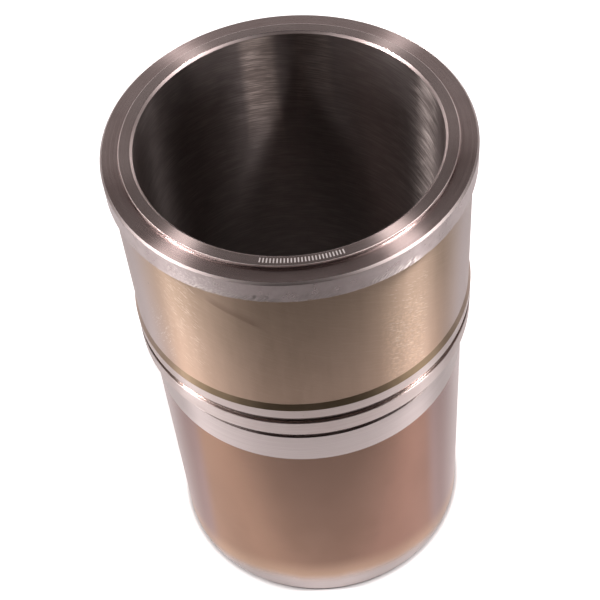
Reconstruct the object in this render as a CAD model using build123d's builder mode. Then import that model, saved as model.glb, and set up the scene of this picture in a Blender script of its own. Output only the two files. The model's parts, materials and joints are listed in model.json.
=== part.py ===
from build123d import *
import os

# Wet cylinder liner of a heavy diesel engine, turned from one cast iron tube.
# It hangs in the block by the shoulder under its guide land, and its flange
# only centres the top. Millimetres. The origin is the centre of the lower end
# face, and +Z runs up the bore axis to the flange.

# Bore, and what stands outside it
bore_radius = 63.5
lower_body_wall = 9.0
upper_body_wall = 11.5
guide_rise = 1.0  # of the guide land over the upper body
flange_rise = 2.0  # of the flange over the upper body
fire_ring_width = 5.7

# Lengths along the axis, from the lower end up
lower_body_length = 142.1
relief_width = 6.6
guide_chamfer_length = 1.7
lower_land_length = 8.1
groove_width = 3.9
upper_land_length = 5.5
lead_in_length = 3.6
upper_body_length = 70.2
flange_thickness = 11.0
fire_ring_height = 1.3

# Depths of what is cut in, and the corner radii left there
groove_depth = 1.4
groove_corner_radius = 0.4
relief_depth = 0.9
relief_corner_radius = 0.6
guide_chamfer_depth = 1.0

# Edges
bore_top_chamfer = 1.0
bore_bottom_chamfer = 1.5
bottom_chamfer = 1.0
fire_ring_edge = 0.25
fire_ring_root_radius = 0.6
flange_top_chamfer = 0.8
flange_bottom_chamfer = 0.5
flange_root_chamfer = 0.8
groove_edge = 0.2
touch = 0.01  # how near an edge lies to the circle it is looked up by

# Radii that follow from the walls
lower_body_radius = bore_radius + lower_body_wall
upper_body_radius = bore_radius + upper_body_wall
guide_radius = upper_body_radius + guide_rise
flange_radius = upper_body_radius + flange_rise
fire_ring_radius = bore_radius + fire_ring_width
relief_floor_radius = lower_body_radius - relief_depth
groove_floor_radius = guide_radius - groove_depth

# Levels that follow from the lengths
seat_level = lower_body_length + relief_width
guide_chamfer_level = seat_level + guide_chamfer_length
groove_bottom_level = guide_chamfer_level + lower_land_length
groove_top_level = groove_bottom_level + groove_width
guide_top_level = groove_top_level + upper_land_length
lead_in_top_level = guide_top_level + lead_in_length
flange_underside_level = lead_in_top_level + upper_body_length
flange_plane_level = flange_underside_level + flange_thickness
top_level = flange_plane_level + fire_ring_height


def circles(shape, radius, level):
    """The round edges of a turned shape with this radius at this level."""
    return [
        edge
        for edge in shape.edges().filter_by(GeomType.CIRCLE)
        if abs(edge.radius - radius) < touch and abs(edge.arc_center.Z - level) < touch
    ]


with BuildPart() as liner:
    # Half section of the turned blank: the bore on the left and the outside on the
    # right, with the guide land, its lead-in cone, the flange and the fire ring.
    with BuildSketch(Plane.XZ):
        with BuildLine():
            Polyline(
                (bore_radius, 0),
                (lower_body_radius, 0),
                (lower_body_radius, seat_level),
                (guide_radius - guide_chamfer_depth, seat_level),
                (guide_radius, guide_chamfer_level),
                (guide_radius, guide_top_level),
                (upper_body_radius, lead_in_top_level),
                (upper_body_radius, flange_underside_level),
                (flange_radius, flange_underside_level),
                (flange_radius, flange_plane_level),
                (fire_ring_radius, flange_plane_level),
                (fire_ring_radius, top_level),
                (bore_radius, top_level),
                close=True,
            )
        make_face()
    revolve(axis=Axis.Z)

    # Seal ring groove between the two halves of the guide land.
    with BuildSketch(Plane.XZ) as groove_section:
        with BuildLine():
            Polyline(
                (groove_floor_radius, groove_bottom_level),
                (guide_radius, groove_bottom_level),
                (guide_radius, groove_top_level),
                (groove_floor_radius, groove_top_level),
                close=True,
            )
        make_face()
        floor_corners = groove_section.vertices().group_by(Axis.X)[0]
        fillet(floor_corners, groove_corner_radius)
    revolve(axis=Axis.Z, mode=Mode.SUBTRACT)

    # Relief in the corner of the seat shoulder, running out to the lower body at 45 degrees.
    with BuildSketch(Plane.XZ) as relief_section:
        with BuildLine():
            Polyline(
                (relief_floor_radius, seat_level),
                (lower_body_radius, seat_level),
                (lower_body_radius, lower_body_length),
                (relief_floor_radius, lower_body_length + relief_depth),
                close=True,
            )
        make_face()
        relief_root = relief_section.vertices().group_by(Axis.X)[0].sort_by(Axis.Z)[-1]
        fillet(relief_root, relief_corner_radius)
    revolve(axis=Axis.Z, mode=Mode.SUBTRACT)

    # Edges, from the top down.
    chamfer(circles(liner, bore_radius, top_level), bore_top_chamfer)
    chamfer(circles(liner, fire_ring_radius, top_level), fire_ring_edge)
    fillet(circles(liner, fire_ring_radius, flange_plane_level), fire_ring_root_radius)
    chamfer(circles(liner, flange_radius, flange_plane_level), flange_top_chamfer)
    chamfer(circles(liner, flange_radius, flange_underside_level), flange_bottom_chamfer)
    chamfer(circles(liner, upper_body_radius, flange_underside_level), flange_root_chamfer)
    chamfer(circles(liner, guide_radius, groove_top_level), groove_edge)
    chamfer(circles(liner, guide_radius, groove_bottom_level), groove_edge)
    chamfer(circles(liner, lower_body_radius, 0), bottom_chamfer)
    chamfer(circles(liner, bore_radius, 0), bore_bottom_chamfer)

liner.part.label = "cylinder_liner"

os.makedirs("parts", exist_ok=True)
export_step(liner.part, "parts/cylinder_liner.step")
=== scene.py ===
import json
import math

import bmesh
import bpy
from mathutils import Matrix, Vector


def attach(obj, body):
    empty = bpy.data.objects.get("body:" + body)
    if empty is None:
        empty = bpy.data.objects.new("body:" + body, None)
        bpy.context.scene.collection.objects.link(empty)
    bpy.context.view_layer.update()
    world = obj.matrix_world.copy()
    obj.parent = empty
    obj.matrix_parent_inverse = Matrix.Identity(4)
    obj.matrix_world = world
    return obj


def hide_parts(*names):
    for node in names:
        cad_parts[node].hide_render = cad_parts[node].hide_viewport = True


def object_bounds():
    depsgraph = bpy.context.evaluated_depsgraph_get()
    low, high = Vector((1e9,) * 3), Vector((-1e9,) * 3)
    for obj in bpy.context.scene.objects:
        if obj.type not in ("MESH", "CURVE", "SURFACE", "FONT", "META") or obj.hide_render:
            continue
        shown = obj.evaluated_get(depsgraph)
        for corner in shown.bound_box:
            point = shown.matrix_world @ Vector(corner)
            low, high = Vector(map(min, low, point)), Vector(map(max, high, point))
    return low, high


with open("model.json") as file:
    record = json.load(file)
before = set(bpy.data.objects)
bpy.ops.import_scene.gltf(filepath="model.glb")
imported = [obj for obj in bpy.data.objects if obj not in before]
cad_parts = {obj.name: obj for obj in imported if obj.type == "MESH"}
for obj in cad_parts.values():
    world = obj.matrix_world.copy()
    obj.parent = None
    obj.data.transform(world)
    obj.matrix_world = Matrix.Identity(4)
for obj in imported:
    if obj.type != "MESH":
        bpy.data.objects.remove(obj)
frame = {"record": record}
cad_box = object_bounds()

# Sizes of a wet cylinder liner, in metres. The frame's mounts and box give the main ones.
mm = 0.001
mounts = {mount["name"]: mount for mount in frame["record"]["mounts"]}
bore_radius = mounts["bore"]["dims"]["r_mm"] * mm
flange_radius = mounts["flange_rim"]["dims"]["r_mm"] * mm
guide_radius = mounts["guide_land"]["dims"]["r_mm"] * mm
seat_level = mounts["seat_shoulder"]["pos_m"][2]
top_level = cad_box[1].z

# Walls, rises and depths across the axis
lower_body_wall = 9.0 * mm
fire_ring_width = 5.7 * mm
guide_rise = 1.0 * mm
guide_chamfer_depth = 1.0 * mm
relief_depth = 0.9 * mm
groove_depth = 1.4 * mm

# Lengths along the axis
fire_ring_height = 1.3 * mm
flange_thickness = 11.0 * mm
upper_body_length = 70.2 * mm
lead_in_length = 3.6 * mm
upper_land_length = 5.5 * mm
groove_width = 3.9 * mm
guide_chamfer_length = 1.7 * mm
relief_width = 6.6 * mm
bare_band_length = 17.1 * mm

# Radii
lower_body_radius = bore_radius + lower_body_wall
upper_body_radius = guide_radius - guide_rise
fire_ring_radius = bore_radius + fire_ring_width
seat_radius = guide_radius - guide_chamfer_depth
relief_floor_radius = lower_body_radius - relief_depth
groove_floor_radius = guide_radius - groove_depth

# Levels, from the top down and from the seat
flange_plane_level = top_level - fire_ring_height
flange_underside_level = flange_plane_level - flange_thickness
lead_in_top_level = flange_underside_level - upper_body_length
guide_top_level = lead_in_top_level - lead_in_length
groove_top_level = guide_top_level - upper_land_length
groove_bottom_level = groove_top_level - groove_width
guide_chamfer_level = seat_level + guide_chamfer_length
relief_foot_level = seat_level - relief_width
relief_floor_level = relief_foot_level + relief_depth
bare_band_foot_level = relief_foot_level - bare_band_length

# Heights in millimetres that the finishes are placed from
bore_top = top_level / mm
flange_foot = flange_underside_level / mm
film_foot = lead_in_top_level / mm
bare_band_foot = bare_band_foot_level / mm

# Chamfers, and the radii of edges and inner corners
bore_top_chamfer = 1.0 * mm
bore_bottom_chamfer = 1.5 * mm
bottom_chamfer = 1.0 * mm
flange_top_chamfer = 0.8 * mm
flange_bottom_chamfer = 0.5 * mm
flange_root_chamfer = 0.8 * mm
groove_edge = 0.2 * mm
crisp = 0.08 * mm
broken = 0.15 * mm
fire_ring_edge = 0.25 * mm
groove_corner = 0.4 * mm
relief_corner = 0.6 * mm
fire_ring_root = 0.6 * mm

# A plain row of ticks on the fire ring. Angles are in degrees from the front.
tick_radius = bore_radius + 3.0 * mm
tick_length = 2.2 * mm
tick_pitch = 1.15
tick_row_angle = 0.8
tick_row_reach = 14.3

# Depths of the fine relief that the finishes have, in metres
turned_relief = 2e-6
honed_relief = 3e-6
smooth_film_relief = 3e-6
cone_film_relief = 4e-6
wiped_film_relief = 6e-6
scuffed_relief = 6e-6

# Fineness of the turned mesh
segments = 480
corner_steps = 4

# Studio, in metres. The lamps stand round a point on the axis, inside the upper body.
floor_radius = 12.0
floor_segments = 96
# Width of the painted contact shadow round the foot
painted_contact_shadow_width = 2.5 * mm
lamp_distance = 1.5
lamp_target_level = top_level * 0.8

# The photograph's camera. The sensor is in millimetres, the place in metres, the turns in degrees.
frame_pixels = 600
lens_pixels = 1376.7
sensor_width = 36.0
camera_place = (0.0, -0.4019, 0.6446)
camera_yaw = -0.292
camera_pitch = 51.021
camera_roll = 5.909

white = (1.0, 1.0, 1.0)
lamp_colour = (1.0, 0.94, 0.935)

# The turn of a metal's tangent, in whole turns, that stretches its highlight across lines
# that run round the axis
across_lines = 0.25

# A colour mix node repeats its socket names for each kind of data, so these go by number.
MIX_FIRST, MIX_SECOND, MIX_RESULT = 6, 7, 2

# Corners of the half section, up the bore, over the top, down the outside and back
# under the lower end: radius, height, rounding, and the finish of the face that follows.
SECTION = [
    (bore_radius, bore_bottom_chamfer, crisp, "honed_bore"),
    (bore_radius, top_level - bore_top_chamfer, broken, "bore_mouth"),
    (bore_radius + bore_top_chamfer, top_level, broken, "fire_ring"),
    (fire_ring_radius, top_level, fire_ring_edge, "fire_ring_step"),
    (fire_ring_radius, flange_plane_level, fire_ring_root, "flange_plane"),
    (flange_radius - flange_top_chamfer, flange_plane_level, broken, "flange_edge"),
    (flange_radius, flange_plane_level - flange_top_chamfer, broken, "flange_side"),
    (flange_radius, flange_underside_level + flange_bottom_chamfer, broken, "flange_side"),
    (flange_radius - flange_bottom_chamfer, flange_underside_level, crisp, "flange_side"),
    (upper_body_radius + flange_root_chamfer, flange_underside_level, crisp, "upper_body"),
    (upper_body_radius, flange_underside_level - flange_root_chamfer, broken, "upper_body"),
    (upper_body_radius, lead_in_top_level, broken, "lead_in_cone"),
    (guide_radius, guide_top_level, broken, "guide_land"),
    (guide_radius, groove_top_level + groove_edge, crisp, "guide_land"),
    (guide_radius - groove_edge, groove_top_level, crisp, "seal_groove"),
    (groove_floor_radius, groove_top_level, groove_corner, "seal_groove"),
    (groove_floor_radius, groove_bottom_level, groove_corner, "seal_groove"),
    (guide_radius - groove_edge, groove_bottom_level, crisp, "guide_land"),
    (guide_radius, groove_bottom_level - groove_edge, crisp, "guide_land"),
    (guide_radius, guide_chamfer_level, broken, "seat_chamfer"),
    (seat_radius, seat_level, broken, "relief"),
    (relief_floor_radius, seat_level, relief_corner, "relief"),
    (relief_floor_radius, relief_floor_level, broken, "relief"),
    (lower_body_radius, relief_foot_level, broken, "lower_body"),
    (lower_body_radius, bottom_chamfer, broken, "lower_end"),
    (lower_body_radius - bottom_chamfer, 0.0, crisp, "lower_end"),
    (bore_radius + bore_bottom_chamfer, 0.0, crisp, "lower_end"),
]


class Nodes:
    """Adds nodes to one material or group. An input is a number, a colour or an output."""

    def __init__(self, tree):
        self.tree = tree

    def add(self, kind, inputs=None, **settings):
        node = self.tree.nodes.new(kind)
        for name, value in settings.items():
            setattr(node, name, value)
        for socket, value in (inputs or {}).items():
            self.feed(node, socket, value)
        return node

    def feed(self, node, socket, value):
        if isinstance(value, bpy.types.NodeSocket):
            self.tree.links.new(value, node.inputs[socket])
        elif isinstance(value, tuple) and node.inputs[socket].type == "RGBA":
            node.inputs[socket].default_value = (*value, 1.0)
        else:
            node.inputs[socket].default_value = value

    def math(self, operation, *terms):
        return self.add("ShaderNodeMath", dict(enumerate(terms)), operation=operation).outputs[0]

    def plus(self, first, second):
        return self.math("ADD", first, second)

    def minus(self, first, second):
        return self.math("SUBTRACT", first, second)

    def times(self, first, second):
        return self.math("MULTIPLY", first, second)

    def over(self, first, second):
        return self.math("DIVIDE", first, second)

    def larger(self, first, second):
        return self.math("MAXIMUM", first, second)

    def absolute(self, value):
        return self.math("ABSOLUTE", value)

    def apart(self, first, second):
        """How far two values are from each other."""
        return self.absolute(self.minus(first, second))

    def ramp(self, value, low, high, start=0.0, end=1.0):
        """Carries value smoothly from low..high to start..end, and holds it beyond."""
        inputs = {"Value": value, "From Min": low, "From Max": high, "To Min": start, "To Max": end}
        return self.add("ShaderNodeMapRange", inputs, interpolation_type="SMOOTHSTEP").outputs[0]

    def band(self, value, climb, fall, peak=1.0):
        """Climbs from nothing to the peak over one pair of values, and falls back over the other."""
        return self.times(self.ramp(value, *climb, 0.0, peak), self.ramp(value, *fall, 1.0, 0.0))

    def blend(self, share, first, second):
        """The colour that lies this share of the way from first to second."""
        node = self.add("ShaderNodeMix", {"Factor": share}, data_type="RGBA")
        self.feed(node, MIX_FIRST, first)
        self.feed(node, MIX_SECOND, second)
        return node.outputs[MIX_RESULT]

    def axes(self, vector):
        return self.add("ShaderNodeSeparateXYZ", {0: vector}).outputs

    def vector(self, x, y, z=0.0):
        return self.add("ShaderNodeCombineXYZ", {"X": x, "Y": y, "Z": z}).outputs[0]

    def length(self, vector):
        return self.add("ShaderNodeVectorMath", {0: vector}, operation="LENGTH").outputs["Value"]

    def object_place(self):
        return self.add("ShaderNodeTexCoord").outputs["Object"]

    def group(self, name, **inputs):
        """The outputs of an effect group, which takes Half_Angle for its input Half Angle."""
        node = self.add("ShaderNodeGroup", node_tree=bpy.data.node_groups[name])
        for socket, value in inputs.items():
            self.feed(node, socket.replace("_", " "), value)
        return node.outputs

    def facing(self):
        """Nothing where the wall faces the eye, and 1 where it turns edge on."""
        return self.add("ShaderNodeLayerWeight", {"Blend": 0.5}).outputs["Facing"]

    def bump(self, height, depth):
        """The normal of a surface that rises by depth, in metres, where height is 1."""
        return self.add("ShaderNodeBump", {"Height": height, "Distance": depth}).outputs[0]


def new_group(name, inputs, outputs):
    """An empty effect group: its nodes, its named inputs, and a call that sets an output."""
    tree = bpy.data.node_groups.new(name, "ShaderNodeTree")
    for label, start in inputs.items():
        socket = tree.interface.new_socket(label, in_out="INPUT", socket_type="NodeSocketFloat")
        socket.default_value = start
    for label, kind in outputs.items():
        tree.interface.new_socket(label, in_out="OUTPUT", socket_type=kind)
    nodes = Nodes(tree)
    given = nodes.add("NodeGroupInput").outputs
    result = nodes.add("NodeGroupOutput")
    return nodes, given, lambda label, value: nodes.feed(result, label, value)


def lathe_place_group():
    """Where a point lies on the lathe: angle from the front, radius and height in millimetres.
    Round is the direction from the axis, so it has no seam at the back."""
    outputs = {
        "Angle": "NodeSocketFloat",
        "Radius": "NodeSocketFloat",
        "Height": "NodeSocketFloat",
        "Round": "NodeSocketVector",
    }
    nodes, _, put = new_group("lathe_place", {}, outputs)
    x, y, z = nodes.axes(nodes.object_place())
    turn = nodes.math("ARCTAN2", x, nodes.times(y, -1.0))
    flat = nodes.vector(x, y)
    put("Angle", nodes.math("DEGREES", turn))
    put("Radius", nodes.over(nodes.length(flat), mm))
    put("Height", nodes.over(z, mm))
    put("Round", nodes.add("ShaderNodeVectorMath", {0: flat}, operation="NORMALIZE").outputs[0])


def turning_lines_group():
    """Fine lines that a turning tool leaves round the axis, from 0 to 1."""
    inputs = {"Along": 0.0, "Pitch": 0.5, "Waver": 1.0}
    nodes, given, put = new_group("turning_lines", inputs, {"Lines": "NodeSocketFloat"})
    x, y, _ = nodes.axes(nodes.group("lathe_place")["Round"])
    turns = nodes.over(given["Along"], given["Pitch"])
    vector = nodes.vector(nodes.times(x, given["Waver"]), nodes.times(y, given["Waver"]), turns)
    noise = nodes.add("ShaderNodeTexNoise", {"Vector": vector, "Scale": 1.0, "Detail": 3.0})
    put("Lines", noise.outputs[0])


def scratches_group():
    """Thin marks that climb the wall at a slant, as a mask. Width and length are in millimetres,
    and the slant is in degrees of turn for each millimetre of height."""
    inputs = {"Slant": 0.0, "Width": 0.3, "Length": 8.0, "Start": 0.6, "Full": 0.7}
    nodes, given, put = new_group("scratches", inputs, {"Mask": "NodeSocketFloat"})
    place = nodes.group("lathe_place")
    shift = nodes.times(place["Height"], given["Slant"])
    turn = nodes.math("RADIANS", nodes.minus(place["Angle"], shift))
    reach = nodes.over(place["Radius"], given["Width"])
    x = nodes.times(nodes.math("COSINE", turn), reach)
    y = nodes.times(nodes.math("SINE", turn), reach)
    vector = nodes.vector(x, y, nodes.over(place["Height"], given["Length"]))
    noise = nodes.add("ShaderNodeTexNoise", {"Vector": vector, "Scale": 1.0, "Detail": 2.0})
    put("Mask", nodes.ramp(noise.outputs[0], given["Start"], given["Full"]))


def clouds_group():
    """Soft uneven patches of a given size in millimetres, from 0 to 1."""
    inputs = {"Size": 20.0, "Stretch": 1.0, "Seed": 0.0}
    nodes, given, put = new_group("clouds", inputs, {"Value": "NodeSocketFloat"})
    x, y, z = nodes.axes(nodes.object_place())
    fine = nodes.over(1.0 / mm, given["Size"])
    height = nodes.over(nodes.times(z, fine), given["Stretch"])
    vector = nodes.vector(nodes.times(x, fine), nodes.times(y, fine), height)
    inputs = {"Vector": vector, "W": given["Seed"], "Scale": 1.0, "Detail": 4.0}
    noise = nodes.add("ShaderNodeTexNoise", inputs, noise_dimensions="4D")
    put("Value", noise.outputs[0])


def specks_group():
    """Small scattered dots with soft rims, as a mask. Spacing is in millimetres, size is a part
    of the spacing, and share says how many of the cells hold a dot."""
    inputs = {"Spacing": 4.0, "Size": 0.1, "Share": 0.3}
    nodes, given, put = new_group("specks", inputs, {"Mask": "NodeSocketFloat"})
    scale = nodes.over(1.0 / mm, given["Spacing"])
    cells = nodes.add("ShaderNodeTexVoronoi", {"Vector": nodes.object_place(), "Scale": scale})
    solid = nodes.times(given["Size"], 0.6)
    dot = nodes.ramp(cells.outputs["Distance"], solid, given["Size"], 1.0, 0.0)
    pick, _, _ = nodes.add("ShaderNodeSeparateColor", {0: cells.outputs["Color"]}).outputs
    chosen = nodes.math("LESS_THAN", pick, given["Share"])
    put("Mask", nodes.times(dot, chosen))


def patch_group():
    """A soft patch on the wall, as a mask, round an angle in degrees and a height in millimetres."""
    inputs = {"Angle": 0.0, "Half Angle": 10.0, "Height": 100.0, "Half Height": 10.0}
    nodes, given, put = new_group("patch", inputs, {"Mask": "NodeSocketFloat"})
    place = nodes.group("lathe_place")
    across = nodes.over(nodes.apart(place["Angle"], given["Angle"]), given["Half Angle"])
    along = nodes.over(nodes.apart(place["Height"], given["Height"]), given["Half Height"])
    put("Mask", nodes.ramp(nodes.larger(across, along), 0.5, 1.0, 1.0, 0.0))


def patch(nodes, angle, half_angle, height, half_height):
    """A soft patch that fades out this far to each side of an angle and a height."""
    sizes = dict(Angle=angle, Half_Angle=half_angle, Height=height, Half_Height=half_height)
    return nodes.group("patch", **sizes)["Mask"]


def start_material(name):
    material = bpy.data.materials.new(name)
    material.use_nodes = True
    material.node_tree.nodes.clear()
    return Nodes(material.node_tree)


def finish_material(nodes, shader):
    nodes.add("ShaderNodeOutputMaterial", {"Surface": shader.outputs[0]})


def metal_shader(nodes, colour, roughness, normal, stretch=1.0, rotation=across_lines):
    """A bare metal shader, whose highlight stretches along the axis like that of turned iron."""
    around = nodes.add("ShaderNodeTangent", direction_type="RADIAL", axis="Z").outputs[0]
    inputs = {
        "Metallic": 1.0,
        "Base Color": colour,
        "Roughness": roughness,
        "Normal": normal,
        "Anisotropic": stretch,
        "Anisotropic Rotation": rotation,
        "Tangent": around,
    }
    return nodes.add("ShaderNodeBsdfPrincipled", inputs)


def turned_tone(nodes, along, pitch):
    """The tool's lines, and the share of the lighter iron that they and soft patches give."""
    lines = nodes.group("turning_lines", Along=along, Pitch=pitch, Waver=1.6)["Lines"]
    tone = nodes.group("clouds", Size=14.0)["Value"]
    return lines, nodes.ramp(nodes.plus(lines, tone), 0.75, 1.25)


def turned_iron(name, dark, light, roughness, along="Height", pitch=0.3, stretch=1.0):
    """Bare turned iron, with the tool's fine lines in its colour, roughness and relief."""
    nodes = start_material(name)
    lines, share = turned_tone(nodes, nodes.group("lathe_place")[along], pitch)
    dots = nodes.group("specks", Spacing=7.0, Size=0.05, Share=0.3)["Mask"]
    pitted = tuple(part * 0.6 for part in dark)
    colour = nodes.blend(dots, nodes.blend(share, dark, light), pitted)
    rough = nodes.ramp(share, 0.0, 1.0, roughness * 0.97, roughness * 1.03)
    shader = metal_shader(nodes, colour, rough, nodes.bump(lines, turned_relief), stretch)
    finish_material(nodes, shader)


def etched_ticks(nodes, place):
    """A plain row of equal ticks round the front of the fire ring, slightly worn, as a mask."""
    step = nodes.math("FRACT", nodes.over(nodes.plus(place["Angle"], 360.0), tick_pitch))
    stroke = nodes.ramp(nodes.apart(step, 0.5), 0.14, 0.24, 1.0, 0.0)
    off_middle = nodes.apart(place["Angle"], tick_row_angle)
    row = nodes.math("LESS_THAN", off_middle, tick_row_reach)
    length = tick_length / mm
    off_line = nodes.apart(place["Radius"], tick_radius / mm)
    ends = nodes.ramp(off_line, length * 0.42, length * 0.58, 1.0, 0.0)
    worn = nodes.ramp(nodes.group("clouds", Size=0.8)["Value"], 0.3, 0.5, 0.8, 1.0)
    return nodes.times(nodes.times(nodes.times(stroke, row), ends), worn)


def fire_ring():
    """Turned face round the bore mouth, with a plain row of etched ticks at the front."""
    nodes = start_material("fire_ring")
    place = nodes.group("lathe_place")
    lines, share = turned_tone(nodes, place["Radius"], pitch=0.3)
    iron = nodes.blend(share, (0.52, 0.42, 0.40), (0.60, 0.50, 0.48))
    ticks = etched_ticks(nodes, place)
    colour = nodes.blend(ticks, iron, (0.50, 0.47, 0.46))
    rough = nodes.ramp(ticks, 0.0, 1.0, 0.26, 0.7)
    shader = metal_shader(nodes, colour, rough, nodes.bump(lines, turned_relief))
    nodes.feed(shader, "Metallic", nodes.minus(1.0, ticks))
    finish_material(nodes, shader)


def flange_scuffs_and_highlights(nodes, place, wander):
    """Where handling has scuffed the flange, as a mask: slanted marks in three patches, and dots. The
    patches lie round the lamps' highlights, so the whitening is partly real scuffs and partly a painted
    highlight.
    """
    marks = nodes.group("scratches", Slant=0.8, Width=0.9, Length=2.2, Start=0.44, Full=0.56)["Mask"]
    left = patch(nodes, -22.0, 19.0, flange_foot + 2.3, 7.5)
    right = patch(nodes, 27.0, 13.0, flange_foot + 2.3, 7.5)
    middle = patch(nodes, 4.0, 9.0, flange_foot + 2.3, 7.5)
    rubbed_and_highlit = nodes.larger(nodes.larger(left, right), nodes.times(middle, 0.4))
    level = nodes.plus(place["Height"], nodes.times(wander, 7.0))
    low = nodes.ramp(level, flange_foot + 5.8, flange_foot + 8.3, 1.0, 0.0)
    scuffs_and_highlights = nodes.times(nodes.times(marks, rubbed_and_highlit), low)
    dots = nodes.ramp(nodes.group("clouds", Size=1.0, Seed=8.0)["Value"], 0.48, 0.62, 0.0, 0.6)
    dots = nodes.times(dots, patch(nodes, -30.0, 15.0, flange_foot + 3.3, 7.5))
    return nodes.larger(scuffs_and_highlights, dots)


def flange_side():
    """Ground rim of the flange, scuffed white, partly with a painted highlight, with the film creeping up
    it from below.
    """
    nodes = start_material("flange_side")
    place = nodes.group("lathe_place")
    lines = nodes.group("turning_lines", Along=place["Height"], Pitch=0.5, Waver=2.0)["Lines"]
    tone = nodes.group("clouds", Size=5.0)["Value"]
    wander = nodes.group("clouds", Size=4.0, Seed=3.0)["Value"]
    scuffs_and_highlights = flange_scuffs_and_highlights(nodes, place, wander)
    iron = nodes.blend(nodes.ramp(tone, 0.35, 0.65), (0.57, 0.485, 0.48), (0.65, 0.565, 0.56))
    # Whitened scuffs: partly real scuffs, partly a painted highlight round the lamps' highlights.
    iron = nodes.blend(nodes.times(scuffs_and_highlights, 0.8), iron, (0.92, 0.85, 0.82))
    level = nodes.plus(place["Height"], nodes.times(wander, 4.0))
    film = nodes.ramp(level, flange_foot + 1.9, flange_foot + 2.9, 0.8, 0.0)
    colour = nodes.blend(film, iron, (0.50, 0.37, 0.27))
    rough = nodes.plus(nodes.ramp(tone, 0.3, 0.7, 0.27, 0.30), nodes.times(scuffs_and_highlights, 0.2))
    height = nodes.plus(lines, nodes.times(scuffs_and_highlights, 4.0))
    shader = metal_shader(nodes, colour, rough, nodes.bump(height, scuffed_relief))
    finish_material(nodes, shader)


def film_texture(nodes, place):
    """A film that has been wiped at a slant: its relief, its brushed marks and its grain."""
    lines = nodes.group("turning_lines", Along=place["Height"], Pitch=0.6, Waver=2.0)["Lines"]
    wiped = nodes.group("scratches", Slant=-1.6, Width=0.9, Length=5.0, Start=0.45, Full=0.7)["Mask"]
    grain = nodes.group("clouds", Size=1.4, Seed=5.0)["Value"]
    relief = nodes.plus(lines, nodes.plus(wiped, grain))
    return relief, wiped, grain


def diagonal_stain(nodes, place, tone):
    """A soft stain to the left of the front, sharp below and fading above, that falls to the right."""
    line_angle, line_height, line_slope = -29.0, flange_foot - 8.7, 0.68
    fall = nodes.times(nodes.minus(place["Angle"], line_angle), line_slope)
    above = nodes.minus(nodes.plus(place["Height"], fall), line_height)
    above = nodes.plus(above, nodes.times(nodes.minus(tone, 0.5), 5.0))
    stain = nodes.band(above, (-0.8, 0.2), (0.2, 6.0))
    return nodes.times(stain, patch(nodes, -22.0, 10.0, flange_foot - 12.7, 20.0))


def painted_film_glints(nodes):
    """Short bright marks painted into the film where the lamps' highlights fall, as a mask: painted
    glints.
    """
    glints = nodes.group("scratches", Slant=-1.2, Width=0.8, Length=1.8, Start=0.58, Full=0.70)["Mask"]
    left = patch(nodes, -42.0, 10.0, flange_foot - 29.7, 40.0)
    right = patch(nodes, 34.0, 10.0, flange_foot - 41.7, 40.0)
    return nodes.times(nodes.larger(left, right), glints)


def worn_top(nodes, place):
    """Where the film has worn off under the flange on the left, as a mask."""
    wander = nodes.group("clouds", Size=3.5, Seed=3.0)["Value"]
    level = nodes.plus(place["Height"], nodes.times(wander, 14.0))
    worn = nodes.ramp(level, flange_foot + 3.3, flange_foot + 6.3)
    return nodes.times(worn, patch(nodes, -56.0, 30.0, flange_foot - 1.7, 14.0))


def upper_body():
    """Olive brown film on the body under the flange, with a stain, wear, specks and scratches, and with
    painted glints, a painted highlight, a painted sheen and painted shade.
    """
    nodes = start_material("upper_body")
    place = nodes.group("lathe_place")
    tone = nodes.group("clouds", Size=24.0, Stretch=2.0)["Value"]
    wipes = nodes.group("clouds", Size=5.0, Stretch=9.0, Seed=2.0)["Value"]
    relief, wiped, grain = film_texture(nodes, place)
    share = nodes.plus(nodes.times(tone, 0.6), nodes.times(wipes, 0.4))
    share = nodes.ramp(share, 0.36, 0.64)
    top = nodes.blend(share, (0.47, 0.345, 0.255), (0.53, 0.39, 0.295))
    foot = nodes.blend(share, (0.57, 0.405, 0.305), (0.63, 0.455, 0.35))
    # The film is darker towards the top: partly its own tone, partly painted shade.
    film = nodes.blend(nodes.ramp(place["Height"], film_foot + 0.5, flange_foot - 5.7), foot, top)
    stain = diagonal_stain(nodes, place, tone)
    # A rubbed patch on the right lamp's streak: partly real wear, partly a painted highlight.
    rubbed_and_highlit = patch(nodes, 32.0, 11.0, film_foot + 21.5, 34.0)
    rubbed_and_highlit = nodes.times(rubbed_and_highlit, nodes.ramp(grain, 0.46, 0.60))
    dots = nodes.group("specks", Spacing=9.0, Size=0.07, Share=0.25)["Mask"]
    nicks = nodes.group("scratches", Slant=0.5, Width=0.5, Length=2.5, Start=0.6, Full=0.68)["Mask"]
    nicks = nodes.times(nicks, patch(nodes, -58.0, 12.0, film_foot + 20.5, 20.0))
    marks = [
        (wiped, 0.12, (0.78, 0.64, 0.50)),
        (stain, 0.6, (0.32, 0.22, 0.16)),
        (rubbed_and_highlit, 0.24, (0.88, 0.66, 0.46)),
        # Painted glints where the lamps' highlights fall
        (painted_film_glints(nodes), 0.48, (1.0, 0.90, 0.78)),
        (dots, 0.7, (0.20, 0.14, 0.11)),
        (worn_top(nodes, place), 0.7, (0.66, 0.57, 0.55)),
        (nicks, 0.8, (0.95, 0.87, 0.82)),
    ]
    for mask, strength, mark in marks:
        film = nodes.blend(nodes.times(mask, strength), film, mark)
    # Painted sheen: the film turns pale where it turns edge on.
    colour = nodes.blend(nodes.ramp(nodes.facing(), 0.64, 0.84), film, (0.68, 0.585, 0.57))
    rough = nodes.ramp(grain, 0.3, 0.7, 0.335, 0.365)
    shader = metal_shader(nodes, colour, rough, nodes.bump(relief, wiped_film_relief))
    finish_material(nodes, shader)


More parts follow.
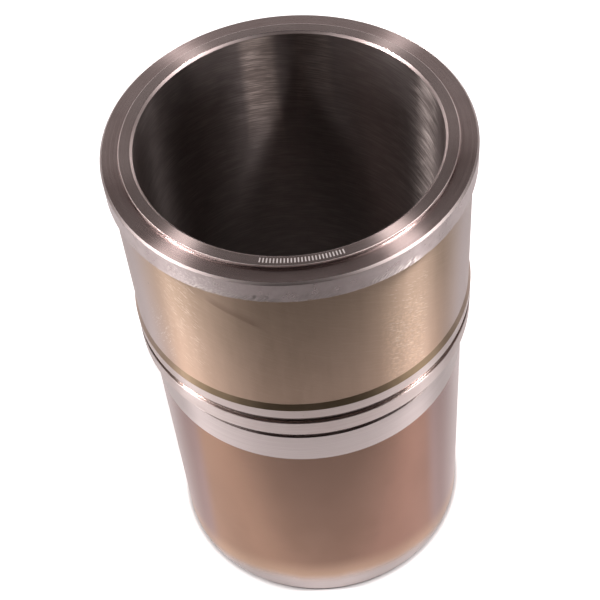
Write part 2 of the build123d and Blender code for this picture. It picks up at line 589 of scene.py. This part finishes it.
def lead_in_cone():
    """The dark olive cone that leads into the guide land."""
    nodes = start_material("lead_in_cone")
    place = nodes.group("lathe_place")
    tone = nodes.group("clouds", Size=16.0)["Value"]
    relief, _, grain = film_texture(nodes, place)
    film = nodes.blend(nodes.ramp(tone, 0.3, 0.7), (0.25, 0.185, 0.115), (0.33, 0.245, 0.16))
    # Painted sheen: the cone turns pale where it turns edge on.
    colour = nodes.blend(nodes.ramp(nodes.facing(), 0.35, 0.90), film, (0.66, 0.50, 0.42))
    rough = nodes.ramp(grain, 0.3, 0.7, 0.32, 0.38)
    shader = metal_shader(nodes, colour, rough, nodes.bump(relief, cone_film_relief))
    finish_material(nodes, shader)


def copper_film(nodes, place, share, facing):
    """The film's temper colours, brown where it faces the eye, then copper and mauve, and a painted sheen
    where it turns pale edge on.
    """
    sideways = nodes.axes(place["Round"])["X"]
    brown = nodes.blend(share, (0.177, 0.103, 0.073), (0.200, 0.120, 0.088))
    golden = nodes.blend(share, (0.365, 0.210, 0.140), (0.410, 0.240, 0.162))
    red = nodes.blend(share, (0.335, 0.176, 0.127), (0.380, 0.204, 0.150))
    copper = nodes.blend(nodes.ramp(sideways, -0.34, 0.5), golden, red)
    film = nodes.blend(nodes.ramp(facing, 0.46, 0.62), brown, copper)
    level = nodes.plus(facing, nodes.times(place["Height"], 0.0006))
    level = nodes.minus(level, nodes.ramp(sideways, -0.64, 0.0, 0.03, 0.0))
    film = nodes.blend(nodes.ramp(level, 0.71, 0.77), film, (0.40, 0.26, 0.243))
    # Painted sheen: the film turns pale where it turns edge on.
    return nodes.blend(nodes.ramp(level, 0.78, 0.98), film, (0.66, 0.555, 0.55))


def lower_body():
    """A smooth copper brown film between a bare bright band and a bare foot."""
    nodes = start_material("lower_body")
    place = nodes.group("lathe_place")
    tone = nodes.group("clouds", Size=24.0, Stretch=2.0)["Value"]
    lines = nodes.group("turning_lines", Along=place["Height"], Pitch=0.6, Waver=2.0)["Lines"]
    share = nodes.plus(nodes.times(tone, 0.75), nodes.times(lines, 0.25))
    share = nodes.ramp(share, 0.34, 0.66)
    facing = nodes.facing()
    film = copper_film(nodes, place, share, facing)
    higher = nodes.ramp(nodes.absolute(place["Angle"]), 15.0, 65.0, 0.0, 9.0)
    wavy = nodes.plus(nodes.plus(place["Height"], nodes.times(tone, 6.0)), higher)
    film = nodes.blend(nodes.ramp(wavy, 15.0, 34.0, 0.6, 0.0), film, (0.66, 0.46, 0.33))
    band = nodes.ramp(place["Height"], bare_band_foot - 0.4, bare_band_foot + 0.4)
    bare = nodes.larger(band, nodes.ramp(wavy, 9.5, 20.0, 1.0, 0.0))
    iron = nodes.blend(nodes.ramp(lines, 0.35, 0.65), (0.62, 0.54, 0.53), (0.67, 0.59, 0.58))
    # Painted shade: the bare foot is painted darker where it turns edge on.
    painted_foot_shade = nodes.times(nodes.ramp(facing, 0.55, 0.72), nodes.ramp(wavy, 24.0, 40.0, 1.0, 0.0))
    iron = nodes.blend(painted_foot_shade, iron, (0.47, 0.41, 0.40))
    colour = nodes.blend(bare, film, iron)
    rough = nodes.ramp(bare, 0.0, 1.0, 0.25, 0.29)
    shader = metal_shader(nodes, colour, rough, nodes.bump(lines, smooth_film_relief))
    finish_material(nodes, shader)


def honed_bore():
    """Cross hatched bore: two families of honing lines, each with its own stretched highlight.
    The lines are painted brighter in two patches on the far wall, a painted highlight, and coarser in one
    on the right, a painted streak where a lamp's highlight falls."""
    second_family = 0.84
    nodes = start_material("honed_bore")
    tone = nodes.group("clouds", Size=9.0, Stretch=0.6)["Value"]
    # Painted highlight: the honing lines are painted brighter in two patches on the far wall.
    bright = nodes.times(patch(nodes, 167.0, 9.0, bore_top + 6.0, 60.0), 0.5)
    bright = nodes.larger(bright, patch(nodes, -171.0, 8.8, bore_top + 6.0, 75.0))
    # Painted streak: on the right the lines are painted darker and brighter where a lamp's highlight
    # falls.
    painted_streak = patch(nodes, 111.0, 13.0, bore_top - 39.0, 95.0)
    shaders = []
    for lean, slant in ((0.044, -7.0), (-0.044, 7.0)):
        hatch = nodes.group("scratches", Slant=slant, Width=4.0, Length=1.3, Start=0.36, Full=0.68)["Mask"]
        uneven = nodes.times(hatch, nodes.ramp(tone, 0.35, 0.6, 0.5, 1.0))
        plain = nodes.blend(uneven, (0.34, 0.29, 0.28), (0.47, 0.41, 0.395))
        # Colours for the painted streak and the painted highlight
        painted_streak_iron = nodes.blend(uneven, (0.22, 0.185, 0.175), (0.68, 0.60, 0.57))
        painted_highlight_iron = nodes.blend(uneven, (0.50, 0.415, 0.38), (1.0, 0.865, 0.80))
        colour = nodes.blend(bright, nodes.blend(painted_streak, plain, painted_streak_iron), painted_highlight_iron)
        rough = nodes.ramp(uneven, 0.0, 1.0, 0.30, 0.33)
        normal = nodes.bump(hatch, honed_relief)
        shader = metal_shader(nodes, colour, rough, normal, rotation=across_lines + lean)
        shaders.append(shader.outputs[0])
    both = nodes.add("ShaderNodeMixShader", {0: second_family, 1: shaders[0], 2: shaders[1]})
    finish_material(nodes, both)


def make_effects():
    lathe_place_group()
    turning_lines_group()
    scratches_group()
    clouds_group()
    specks_group()
    patch_group()


def make_finishes():
    """One material for each kind of face, from the bore over the top and down the outside."""
    honed_bore()
    turned_iron("bore_mouth", (0.60, 0.50, 0.48), (0.70, 0.60, 0.58), 0.36, stretch=0.2)
    fire_ring()
    turned_iron("fire_ring_step", (0.72, 0.61, 0.59), (0.80, 0.70, 0.68), 0.40, stretch=0.2)
    turned_iron("flange_plane", (0.56, 0.44, 0.42), (0.65, 0.53, 0.51), 0.245, along="Radius", pitch=0.4)
    turned_iron("flange_edge", (0.90, 0.79, 0.77), (0.96, 0.87, 0.85), 0.68)
    flange_side()
    upper_body()
    lead_in_cone()
    turned_iron("guide_land", (0.64, 0.54, 0.52), (0.72, 0.63, 0.61), 0.29, pitch=0.5)
    # The seal groove's iron is darker than the lands', a painted shade in the recess.
    turned_iron("seal_groove", (0.44, 0.36, 0.33), (0.56, 0.46, 0.43), 0.26)
    turned_iron("seat_chamfer", (0.60, 0.51, 0.49), (0.68, 0.59, 0.57), 0.27)
    turned_iron("relief", (0.34, 0.27, 0.26), (0.42, 0.35, 0.33), 0.27)
    lower_body()
    # The lower end is nearly black, a painted shade for the gap under the liner.
    turned_iron("lower_end", (0.16, 0.13, 0.125), (0.22, 0.18, 0.175), 0.3, along="Radius", pitch=0.5)


def add_mesh(name, shape):
    """Puts a shape into the scene as an object."""
    mesh = bpy.data.meshes.new(name)
    shape.to_mesh(mesh)
    shape.free()
    thing = bpy.data.objects.new(name, mesh)
    bpy.context.scene.collection.objects.link(thing)
    return thing


def rounded_section(corners):
    """The section's points and the finish of the face after each, with every corner made round."""
    points = []
    finishes = []
    for index, (radius, height, rounding, finish) in enumerate(corners):
        here = Vector((radius, height))
        before = Vector(corners[index - 1][:2])
        after = Vector(corners[(index + 1) % len(corners)][:2])
        into = (here - before).normalized()
        out = (after - here).normalized()
        turn = math.atan2(into.x * out.y - into.y * out.x, into.dot(out))
        start = here - into * rounding * math.tan(abs(turn) / 2)
        side = Vector((-into.y, into.x)) * math.copysign(rounding, turn)
        for step in range(corner_steps + 1):
            arm = Matrix.Rotation(turn * step / corner_steps, 2) @ -side
            points.append(start + side + arm)
            finishes.append(finish)
    return points, finishes


def turned_rings(shape, points):
    """One ring of vertices round the bore axis for each point of the half section."""
    rings = []
    for point in points:
        ring = []
        for segment in range(segments):
            turn = 2 * math.pi * segment / segments
            place = (point.x * math.sin(turn), -point.x * math.cos(turn), point.y)
            ring.append(shape.verts.new(place))
        rings.append(ring)
    return rings


def turn_liner():
    """Turns the half section once round the bore axis into one closed mesh."""
    points, finishes = rounded_section(SECTION)
    names = list(dict.fromkeys(finish for *_, finish in SECTION))
    shape = bmesh.new()
    rings = turned_rings(shape, points)
    for index, finish in enumerate(finishes):
        ring = rings[index]
        following = rings[(index + 1) % len(rings)]
        for segment in range(segments):
            neighbour = (segment + 1) % segments
            corners = (ring[segment], ring[neighbour], following[neighbour], following[segment])
            face = shape.faces.new(corners)
            face.smooth = True
            face.material_index = names.index(finish)
    bmesh.ops.recalc_face_normals(shape, faces=shape.faces)
    liner = add_mesh("liner", shape)
    for name in names:
        liner.data.materials.append(bpy.data.materials[name])
    even = liner.modifiers.new("even_shading", "WEIGHTED_NORMAL")
    even.keep_sharp = True
    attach(liner, "root")
    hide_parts("cylinder_liner")


def seen_directly(nodes):
    """1 for the camera's own rays and those that glass lets through, and else 0."""
    path = nodes.add("ShaderNodeLightPath").outputs
    return nodes.larger(path["Is Camera Ray"], path["Is Transmission Ray"])


def make_floor():
    """A wide floor that looks white and keeps the liner's shadow, with a painted contact shadow round the
    foot. The metal mirrors it as pale near by, dark further out in front and darker at the sides and
    beside the foot, with painted shade inside the bore."""
    shape = bmesh.new()
    bmesh.ops.create_circle(shape, cap_ends=True, radius=floor_radius, segments=floor_segments)
    floor = add_mesh("floor", shape)
    nodes = start_material("floor")
    place = nodes.object_place()
    across, depth, _ = nodes.axes(place)
    aside = nodes.absolute(across)
    away = nodes.length(place)
    front_edge = nodes.ramp(depth, -0.29, -0.20, 1.0, 0.0)
    side_edges = nodes.ramp(aside, 0.24, 0.50, 0.0, 0.6)
    beside = nodes.band(depth, (-0.10, -0.04), (-0.01, 0.05), 0.3)
    beside = nodes.times(beside, nodes.ramp(aside, 0.12, 0.17))
    # Painted shade: the metal sees the floor dark inside the bore.
    inside = nodes.ramp(away, bore_radius, lower_body_radius, 0.8, 0.0)
    dark = nodes.larger(nodes.larger(nodes.larger(front_edge, side_edges), beside), inside)
    mirrored = nodes.blend(dark, (0.72, 0.70, 0.70), (0.03, 0.025, 0.024))
    in_metal = nodes.add("ShaderNodeLightPath").outputs["Is Glossy Ray"]
    sheet = nodes.blend(in_metal, (0.9, 0.89, 0.893), mirrored)
    paper = nodes.add("ShaderNodeBsdfDiffuse", {"Color": sheet}).outputs[0]
    metal_lift = nodes.times(in_metal, nodes.ramp(dark, 0.0, 1.0, 0.42, 0.0))
    # Painted contact shadow: the camera's white lift stops in a thin ring round the foot.
    clear = nodes.ramp(away, lower_body_radius, lower_body_radius + painted_contact_shadow_width, 0.0, 0.55)
    lift = nodes.larger(metal_lift, nodes.times(seen_directly(nodes), clear))
    glow = nodes.add("ShaderNodeEmission", {"Color": white, "Strength": lift}).outputs[0]
    finish_material(nodes, nodes.add("ShaderNodeAddShader", {0: paper, 1: glow}))
    floor.data.materials.append(bpy.data.materials["floor"])


def make_room():
    """What the metal mirrors above the floor: low screens beside the camera, brighter on the
    left, paper behind with a dimmer wall above it, and nearly nothing overhead. The light is
    warmer where it is dim. The camera sees plain white."""
    world = bpy.data.worlds.new("room")
    world.use_nodes = True
    nodes = Nodes(world.node_tree)
    direction = nodes.add("ShaderNodeTexCoord").outputs["Generated"]
    across, depth, rise = nodes.axes(direction)
    turn = nodes.math("ARCTAN2", across, nodes.times(depth, -1.0))
    side = nodes.absolute(nodes.math("DEGREES", turn))
    screen = nodes.band(side, (25.0, 66.0), (74.0, 82.0), 3.4)
    flank = nodes.band(side, (82.0, 90.0), (94.0, 106.0), 1.7)
    low = nodes.ramp(rise, 0.20, 0.34, 1.0, 0.0)
    front = nodes.times(nodes.plus(screen, flank), low)
    front = nodes.times(front, nodes.ramp(across, -0.2, 0.2, 1.0, 0.65))
    paper = nodes.times(nodes.ramp(side, 100.0, 145.0), nodes.ramp(rise, 0.22, 0.50, 0.9, 0.0))
    upper = nodes.times(nodes.ramp(side, 120.0, 150.0), nodes.ramp(rise, 0.65, 0.70, 0.43, 0.0))
    level = nodes.plus(front, nodes.plus(paper, upper))
    tint = nodes.blend(nodes.ramp(level, 0.0, 0.4), (1.0, 0.76, 0.74), (1.0, 0.95, 0.945))
    level = nodes.plus(level, 0.02)
    seen = seen_directly(nodes)
    background = world.node_tree.nodes["Background"]
    nodes.feed(background, "Color", nodes.blend(seen, tint, white))
    nodes.feed(background, "Strength", nodes.larger(level, seen))
    bpy.context.scene.world = world


def soft_box(name, azimuth, elevation, lean, width, height, radiance):
    """A tall soft lamp that faces the liner and leans to one side. Azimuth is from the front, to
    the right, and all its angles are in degrees."""
    data = bpy.data.lights.new(name, "AREA")
    data.shape = "RECTANGLE"
    data.size = width
    data.size_y = height
    data.energy = radiance * math.pi * width * height
    data.color = lamp_colour
    lamp = bpy.data.objects.new(name, data)
    bpy.context.scene.collection.objects.link(lamp)
    turn = math.radians(azimuth)
    lift = math.radians(elevation)
    flat = math.cos(lift)
    towards = Vector((math.sin(turn) * flat, -math.cos(turn) * flat, math.sin(lift)))
    lamp.location = Vector((0, 0, lamp_target_level)) + towards * lamp_distance
    aim = towards.to_track_quat("Z", "Y").to_matrix() @ Matrix.Rotation(math.radians(lean), 3, "Z")
    lamp.rotation_euler = aim.to_euler()


def make_lamps():
    """One lamp on each side, a little behind the liner's left and in front of its right."""
    soft_box("left_lamp", azimuth=-91.5, elevation=50, lean=16, width=0.07, height=0.50, radiance=130)
    soft_box("right_lamp", azimuth=84.5, elevation=58, lean=-14, width=0.07, height=0.45, radiance=152)


def make_camera():
    """The photograph's own view, from in front and well above."""
    data = bpy.data.cameras.new("camera")
    data.sensor_width = sensor_width
    data.lens = sensor_width * lens_pixels / frame_pixels
    camera = bpy.data.objects.new("camera", data)
    bpy.context.scene.collection.objects.link(camera)
    yaw = math.radians(camera_yaw)
    pitch = math.radians(camera_pitch)
    roll = math.radians(camera_roll)
    level_ahead = Vector((math.sin(yaw), math.cos(yaw), 0))
    ahead = level_ahead * math.cos(pitch) - Vector((0, 0, math.sin(pitch)))
    right = Vector((math.cos(yaw), -math.sin(yaw), 0))
    down = ahead.cross(right)
    across = math.cos(roll) * right + math.sin(roll) * down
    upward = math.sin(roll) * right - math.cos(roll) * down
    turned = Matrix((across, upward, -ahead)).transposed()
    camera.matrix_world = Matrix.Translation(camera_place) @ turned.to_4x4()
    bpy.context.scene.camera = camera


make_effects()
make_finishes()
turn_liner()
make_floor()
make_room()
make_lamps()
make_camera()
bpy.context.scene.view_settings.view_transform = "Standard"
